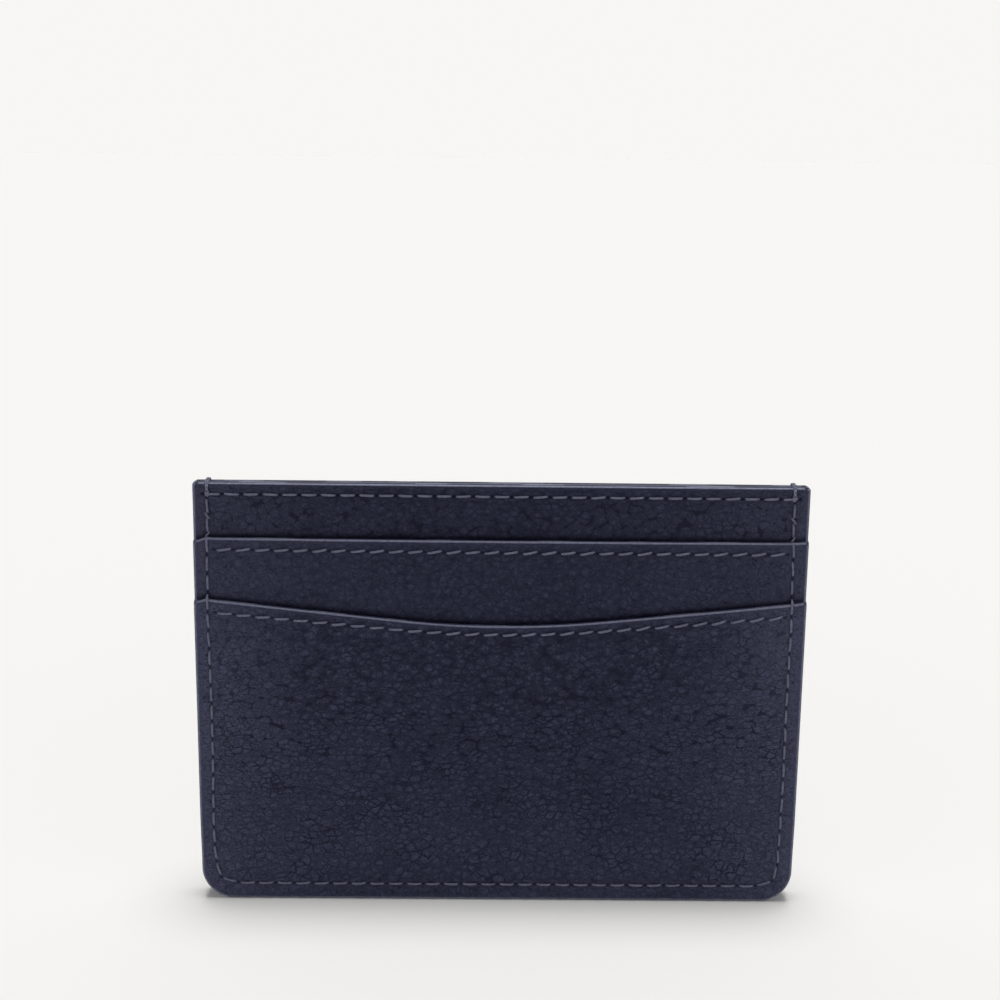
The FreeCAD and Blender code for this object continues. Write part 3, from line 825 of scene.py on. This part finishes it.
def paintMaterial():
    material, tree, surface, place = newMaterial("edgePaint")
    cloud = noise(tree, place, 1.8, 4.0)
    tone = mixColour(tree, remap(tree, cloud, 0.3, 0.7), paintLook["dark"], paintLook["light"])
    z = splitVector(tree, place)[2]
    paleTop = remap(tree, z, height - paintLook["paleTopFrom"], height - 0.1, 0.0, 0.7)
    paleTop = times(tree, paleTop, remap(tree, cloud, 0.35, 0.6, 0.6, 1.0))
    tone = mixColour(tree, paleTop, tone, paintLook["paleTop"])
    feed(tree, surface, {
        "Base Color": tone,
        "Roughness": remap(tree, cloud, 0.3, 0.7, *paintLook["rough"], kind="LINEAR"),
        "Specular IOR Level": paintLook["specular"],
        "Specular Tint": paintLook["sheen"],
    })
    addBump(tree, surface, noise(tree, place, 2.2, 3.0), 0.6, 0.03)
    return material


def rodAlongX(reach, lengths, around):
    # a rod from -reach to reach in even lengths, cut in two passes as one pass makes at most 100 cuts
    cleanSelection()
    bpy.ops.mesh.primitive_cylinder_add(vertices=around, radius=1, depth=2 * reach,
                                        rotation=(0, math.pi / 2, 0))
    rod = bpy.context.object
    bpy.ops.object.transform_apply(location=True, rotation=True, scale=True)
    bpy.ops.object.mode_set(mode="EDIT")
    bpy.ops.mesh.select_mode(type="EDGE")
    bpy.ops.object.mode_set(mode="OBJECT")
    for cuts in (9, lengths // 10 - 1):
        for edge in rod.data.edges:
            ends = [rod.data.vertices[number].co.x for number in edge.vertices]
            edge.select = abs(ends[0] - ends[1]) > reach / 1000
        for face in rod.data.polygons:
            face.select = False
        bpy.ops.object.mode_set(mode="EDIT")
        bpy.ops.mesh.subdivide(number_cuts=cuts)
        bpy.ops.object.mode_set(mode="OBJECT")
    return rod


bead = {
    "rise": 0.2,           # how far the coat stands up over the leather's edge
    "overlap": 0.07,       # and over its faces
    "sink": 0.22,
    "tip": 0.45,           # its ends taper over this length
    "uneven": 0.10,
    "lengths": 260,
    "around": 14,
}


def makeMouthPaint(place, ply, material):
    side = sides[place]
    node = f"{place}_base_edge_paint" if ply == "base" else f"{place}_{ply}_mouth_edge_paint"
    reach = topPaint["half"] - 0.1 if ply == "base" else halfWidth - 0.05
    rod = rodAlongX(reach, bead["lengths"], bead["around"])
    places = points(rod)
    x = places[:, 0]
    level = mouthHeight(ply, x) - bead["rise"]
    outside = faceDepth(ply, x, level - 0.35, side, fine=False)
    inside = innerDepth(ply, x, level) - leather["lining"] - 0.01
    centre, halfThick = (outside + inside) / 2, (outside - inside) / 2 + bead["overlap"]
    tip = np.sqrt(np.clip(1 - (np.abs(x) - reach + bead["tip"]) / bead["tip"], 0.05, 1))
    tip = np.where(np.abs(x) > reach - bead["tip"], tip, 1)
    uneven = 1 + bead["uneven"] * ripple(x, x * 0, 2.3, phases[ply] * side)
    up = places[:, 2] * np.where(places[:, 2] > 0, bead["rise"] * uneven, bead["sink"])
    places[:, 1] = side * (centre + places[:, 1] * side * halfThick * tip)
    places[:, 2] = level + up * tip
    movePoints(rod, places)
    return finishPiece(rod, f"{place}{ply.capitalize()}MouthPaint", material, [node], 80)


def outlineRing(share):
    # outline place, outward way and half depth for a share from 0 (top left) to 1 (top right)
    radius, small, side = seams["cornerRadius"], seams["shoulderRadius"], outline["half"]
    start = height - small
    shoulder = small * math.pi / 2
    straight = start - radius
    bend = radius * math.pi / 2
    across = 2 * (side - radius)
    length = 2 * (shoulder + straight + bend) + across
    here = min(share, 1 - share) * length
    hand = 1 if share > 0.5 else -1
    if here < shoulder:
        turn = here / small
        way = (math.sin(turn), math.cos(turn))
        spot = (side - small + way[0] * small, start + way[1] * small)
    elif here < shoulder + straight:
        way, spot = (1.0, 0.0), (side, start - (here - shoulder))
    elif here < shoulder + straight + bend:
        turn = (here - shoulder - straight) / radius
        way = (math.cos(turn), -math.sin(turn))
        spot = (side - radius + way[0] * radius, radius + way[1] * radius)
    else:
        way, spot = (0.0, -1.0), (side - radius - (here - shoulder - straight - bend), 0.0)
    return (hand * spot[0], spot[1]), (hand * way[0], way[1])


band = {
    "wrap": 0.42,          # how far the coat reaches on to the faces
    "lift": 0.05,
    "round": 0.34,
    "plyGroove": 0.09,
    "around": 44,
    "facePoints": 7,       # points of the section on each face and inside it
    "rings": 640,
    "endRings": 16,        # rings round each top corner, closer together
    "endShare": 0.0052,    # share of the coat's length that they take
}


def sideDepth(x, z):
    # half the depth of the stacked plies close to the outline, with soft steps at the mouths
    x = max(-halfWidth + 0.2, min(halfWidth - 0.2, x))
    z = max(0.3, z)
    depth = float(innerDepth("base", x, z)) + leather["base"]
    for ply in ("middle", "outer"):
        mouth = float(mouthHeight(ply, x))
        own = float(innerDepth(ply, x, min(z, mouth))) + leather[ply]
        share = float(smooth(mouth - z, -0.1, 0.35))
        depth = depth + (own - depth) * share
    return depth - 0.10


def bandProfile(depth, plies):
    # the coat's section as (outward, y) pairs: over the edge, on to both faces and back inside
    across = band["around"] - 2 * band["facePoints"]
    shape = []
    for number in range(across):
        y = -depth + band["round"] + (2 * depth - 2 * band["round"]) * number / (across - 1)
        groove = sum(math.exp(-((abs(y) - ply) / 0.1) ** 2) for ply in plies)
        crown = 0.05 * (y / depth) ** 2
        shape.append((-crown - band["plyGroove"] * min(groove, 1), y))
    for turn in (30, 60, 90):
        angle = math.radians(turn)
        out = -0.05 - band["round"] * (1 - math.cos(angle))
        shape.append((out, depth - band["round"] + (band["round"] + band["lift"]) * math.sin(angle)))
    shape += [(-band["wrap"], depth + 0.02), (-band["wrap"] - 0.1, depth - 0.1)]
    shape += [(-band["wrap"] - 0.15, depth * 0.5), (-band["wrap"] - 0.15, 0.1)]
    return shape + [(out, -y) for out, y in reversed(shape[across:])]


def makeOutlinePaint(material):
    rings = band["rings"]
    rod = rodAlongX(1.0, rings, band["around"])
    places = points(rod)
    along = np.rint((places[:, 0] + 1) / 2 * rings).astype(int)
    angle = np.arctan2(places[:, 2], places[:, 1])
    around = np.rint(angle / (2 * math.pi) * band["around"]).astype(int) % band["around"]
    plySteps = [base["near"] + leather["base"] + 0.01, middle["near"] + leather["middle"] + 0.01]
    spots = [0, band["endRings"], rings - band["endRings"], rings]
    shares = np.interp(np.arange(rings + 1), spots, [0, band["endShare"], 1 - band["endShare"], 1])
    for ring, share in enumerate(shares):
        spot, way = outlineRing(share)
        x, z = spot[0] - way[0] * 0.6, spot[1] - way[1] * 0.6
        depth = sideDepth(x, z)
        profile = bandProfile(depth, [0.0] + [step for step in plySteps if step < depth - 0.3])
        for number in np.nonzero(along == ring)[0]:
            out, y = profile[around[number]]
            places[number] = (spot[0] + way[0] * out, y, spot[1] + way[1] * out)
    movePoints(rod, places)
    return finishPiece(rod, "outlineEdgePaint", material, ["outline_edge_paint"], 60)


# ---- stitches

threadLook = {
    # dark is the painted shade between the thread's plies, light their crests
    "dark": (0.050, 0.053, 0.085, 1.0),
    "light": (0.245, 0.254, 0.355, 1.0),
    "twists": 9.0,     # turns along one stitch
    "plies": 2,
    "specular": 0.2,
    "fuzz": (0.6, 0.64, 0.9, 1.0),
}


def threadMaterial():
    material, tree, surface, place = newMaterial("waxedThread")
    strand = splitVector(tree, addNode(tree, "ShaderNodeUVMap", uv_map="strand").outputs[0])
    lay = blendNumbers(tree, "ADD", times(tree, strand[0], threadLook["twists"]), strand[1])
    angle = times(tree, lay, 2 * math.pi * threadLook["plies"])
    wave = addNode(tree, "ShaderNodeMath", {0: angle}, operation="SINE").outputs[0]
    plied = remap(tree, wave, -1.0, 0.6)
    fuzz = noise(tree, place, 2.0, 3.0)
    mix = times(tree, plied, remap(tree, fuzz, 0.25, 0.75, 0.55, 1.0))
    # painted shade in the grooves between the plies, lighter on their crests
    tone = mixColour(tree, mix, threadLook["dark"], threadLook["light"])
    feed(tree, surface, {
        "Base Color": tone,
        "Roughness": 0.55,
        "Specular IOR Level": threadLook["specular"],
        "Sheen Weight": 0.05,
        "Sheen Tint": threadLook["fuzz"],
    })
    addBump(tree, surface, plied, 0.9, 0.05)
    return material


def threadTube(route, radii, name, smoothness, around):
    # a round thread along a smooth curve through the route
    cleanSelection()
    bpy.ops.curve.primitive_bezier_curve_add()
    curve = bpy.context.object
    line = curve.data.splines[0]
    line.bezier_points.add(len(route) - 2)
    for knot, place, radius in zip(line.bezier_points, route, radii):
        knot.co = place
        knot.radius = radius
        knot.handle_left_type = knot.handle_right_type = "AUTO"
    curve.data.dimensions = "3D"
    curve.data.twist_mode = "MINIMUM"
    curve.data.bevel_depth = seams["thread"] / 2
    curve.data.bevel_resolution = around
    curve.data.resolution_u = smoothness
    curve.data.use_fill_caps = True
    bpy.ops.object.transform_apply(location=True, rotation=True, scale=True)
    bpy.ops.object.convert(target="MESH")
    tube = bpy.context.object
    tube.name = name
    markStrand(tube)
    return tube


def markStrand(tube):
    # a UV map with u along the thread and v around it, which the twist follows
    while tube.data.uv_layers:
        tube.data.uv_layers.remove(tube.data.uv_layers[0])
    layer = tube.data.uv_layers.new(name="strand")
    places = points(tube)
    spread = places.max(axis=0) - places.min(axis=0)
    axis = int(np.argmax(spread))
    others = [number for number in range(3) if number != axis]
    middleOf = places.mean(axis=0)
    u = (places[:, axis] - places[:, axis].min()) / spread[axis]
    v = np.arctan2(places[:, others[1]] - middleOf[others[1]], places[:, others[0]] - middleOf[others[0]])
    v = v / (2 * math.pi) + 0.5
    for loop in tube.data.loops:
        layer.data[loop.index].uv = (u[loop.vertex_index], v[loop.vertex_index])


def makeStitch():
    # one stitch lying along X between two needle holes, its ends going down into them
    half, gap, lift = seams["pitch"] / 2, seams["holeGap"], seams["thread"] / 2
    shown = half - gap
    ends = [(shown + 0.06, -0.42, 0.7), (shown - 0.08, -0.12, 0.9), (shown - 0.28, lift * 0.4, 1.0)]
    ends.append((0.4, lift * 0.9, 1.0))
    route = [(-x, 0, z) for x, z, _ in ends] + [(x, 0, z) for x, z, _ in reversed(ends)]
    radii = [radius for _, _, radius in ends + ends[::-1]]
    return threadTube([Vector(knot) for knot in route], radii, "stitch", 1, 1)


def layStitch(model, start, end, plies, side, slant):
    # copies the stitch from one needle hole to the next, on the face it lies on
    run = Vector((end[0] - start[0], end[1] - start[1]))
    share = (start[0] + end[0]) / (4 * halfWidth) + 0.5
    lean = slant[0] + (slant[1] - slant[0]) * share + dice.uniform(-1, 1) * seams["waver"]
    across = Vector((-run.y, run.x)).normalized() * lean
    first = (start[0] - across.x, start[1] - across.y)
    last = (end[0] + across.x, end[1] + across.y)
    top = min(plies, key=("outer", "middle", "base").index)
    ends = [Vector((x, side * float(faceDepth(top, x, z, side, fine=False)), z)) for x, z in (first, last)]
    along = ends[1] - ends[0]
    length = along.length
    along.normalize()
    out = Vector((0, side, 0))
    out = (out - along * out.dot(along)).normalized()
    third = out.cross(along)
    turn = Matrix((along, third, out)).transposed().to_4x4()
    size = Matrix.Diagonal((length / seams["pitch"], 1, 1, 1))
    copy = model.copy()
    copy.data = model.data.copy()
    bpy.context.collection.objects.link(copy)
    copy.data.transform(turn @ size)
    copy.data.transform(Matrix.Translation((ends[0] + ends[1]) / 2))
    return copy


backTacks = {"leans": (0.5, -0.42), "startDrop": 0.9, "endDrop": 0.7}


def backTack(model, side):
    # the seam's first stitches are sewn twice, and the second time they cross over
    pieces = []
    for pair in (outlineHoles[0:3], outlineHoles[-3:][::-1]):
        for start, end, lean in zip(pair, pair[1:], backTacks["leans"]):
            first = ((start[0] + end[0]) / 2, (start[1] + end[1]) / 2 - backTacks["startDrop"])
            last = (end[0], end[1] - backTacks["endDrop"])
            pieces.append(layStitch(model, first, last, [plyAt(*end)], side, (lean, lean)))
    return pieces


def tackLoop(hand):
    # thread taken over the top edge from the front face to the rear
    depth = float(faceDepth("base", seamX, height - 1.0, fine=False)) + 0.12
    foot, crest = height - 2.3, height + 0.10
    across = hand * (seamX + float(seamWander(hand, height)))
    rising = [(-depth + 0.5, foot - 0.1), (-depth, foot + 0.3), (-depth - 0.06, height - 0.5),
              (-depth * 0.72, crest)]
    route = rising + [(0, crest + 0.05)] + [(-y, z) for y, z in reversed(rising)]
    radii = [0.7, 1.0, 1.3, 1.45, 1.5, 1.45, 1.3, 1.0, 0.7]
    strands = []
    for shift in (-0.17, 0.17):
        knots = [Vector((across + shift * (1 if number % 2 else -0.3), y, z))
                 for number, (y, z) in enumerate(route)]
        strands.append(threadTube(knots, [radius * 0.9 for radius in radii], "tackLoop", 4, 2))
    return strands


def makeThreads(material):
    model = makeStitch()
    for place, side in sides.items():
        for ply, holes in rowHoles.items():
            slant = [lean * -side for lean in seams["slant"][ply]]
            pieces = [layStitch(model, start, end, [ply], side, slant)
                      for start, end in zip(holes, holes[1:])]
            finishPiece(joined(pieces), f"{place}{ply.capitalize()}Stitching", material,
                        [f"{place}_{ply}_mouth_needle_thread"], 80)
        pieces = [layStitch(model, start, end, [plyAt(*start), plyAt(*end)], side, seams["slant"]["outline"])
                  for start, end in zip(outlineHoles, outlineHoles[1:])]
        pieces += backTack(model, side)
        if place == "front":
            pieces += tackLoop(-1) + tackLoop(1)
        kind = "needle" if place == "front" else "bobbin"
        finishPiece(joined(pieces), f"{place}OutlineStitching", material,
                    [f"outline_{kind}_thread"], 80)
    bpy.data.objects.remove(model)


# ---- scene: camera, floor and light

camera = {"place": (-3.1, -253.5, 125.1), "tilt": 12.42, "turn": 0.63, "roll": 0.69, "lens": 57.6}


def makeCamera():
    cleanSelection()
    bpy.ops.object.camera_add(location=[value * mm for value in camera["place"]])
    eye = bpy.context.object
    turn = Matrix.Rotation(math.radians(-camera["turn"]), 3, "Z")
    tilt = Matrix.Rotation(math.radians(90 - camera["tilt"]), 3, "X")
    roll = Matrix.Rotation(math.radians(camera["roll"]), 3, "Z")
    eye.rotation_euler = (turn @ tilt @ roll).to_euler()
    eye.data.lens = camera["lens"]
    eye.data.clip_start = 0.01
    bpy.context.scene.camera = eye


studio = {
    "floor": (0.860, 0.853, 0.837, 1.0),
    "floorSize": 40,                          # m
    "backdrop": (0.930, 0.922, 0.905, 1.0),   # what is seen past the floor
    "ceiling": (0.100, 0.100, 0.100, 1.0),    # dimmer light from higher up
    "horizon": (0.37, 0.60),                  # where the one turns into the other
    "overhead": 2.48,                         # strength of the lamp overhead
    "overheadWidth": 26,                      # degrees
    "overheadTilt": (-1.5, 1.0),
}


def makeFloor():
    cleanSelection()
    bpy.ops.mesh.primitive_grid_add(x_subdivisions=8, y_subdivisions=8, size=studio["floorSize"])
    floor = bpy.context.object
    floor.name = "studioFloor"
    material, tree, surface, _ = newMaterial("paleFloor")
    feed(tree, surface, {"Base Color": studio["floor"], "Roughness": 1.0, "Specular IOR Level": 0.0})
    floor.data.materials.append(material)


def makeLight():
    # surroundings that are bright low down, and one wide soft lamp overhead
    world = bpy.context.scene.world or bpy.data.worlds.new("studio")
    bpy.context.scene.world = world
    world.use_nodes = True
    tree = world.node_tree
    sky = next(node for node in tree.nodes if node.type == "BACKGROUND")
    way = addNode(tree, "ShaderNodeTexCoord").outputs["Generated"]
    share = remap(tree, splitVector(tree, way)[2], *studio["horizon"])
    light = mixColour(tree, share, studio["backdrop"], studio["ceiling"])
    tree.links.new(light, sky.inputs["Color"])

    bpy.ops.object.light_add(type="SUN", location=(0, 0, 1))
    lamp = bpy.context.object
    lamp.data.energy = studio["overhead"]
    lamp.data.angle = math.radians(studio["overheadWidth"])
    lamp.rotation_euler = [math.radians(value) for value in studio["overheadTilt"]] + [0]
    bpy.context.scene.view_settings.view_transform = "Standard"


makeCamera()
makeFloor()
makeLight()
report("camera, floor and light are in place")

panels = [(place, ply) for place in sides for ply in panelBox]
for place, ply in panels:
    makeLeather(place, ply)
report("leather panels are in place")

lining = liningMaterial()
for place, ply in panels:
    makeLining(place, ply, lining)
report("linings are in place")

paint = paintMaterial()
for place, ply in panels:
    makeMouthPaint(place, ply, paint)
makeOutlinePaint(paint)
report("edge paint is in place")

thread = threadMaterial()
makeThreads(thread)
for name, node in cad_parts.items():
    # the threads hidden between the plies keep their plain shape
    hiddenRow = name.endswith("_bobbin_thread") and name != "outline_bobbin_thread"
    if hiddenRow or "stop_seam" in name:
        node.data.materials.clear()
        node.data.materials.append(thread)
report("stitching is in place")
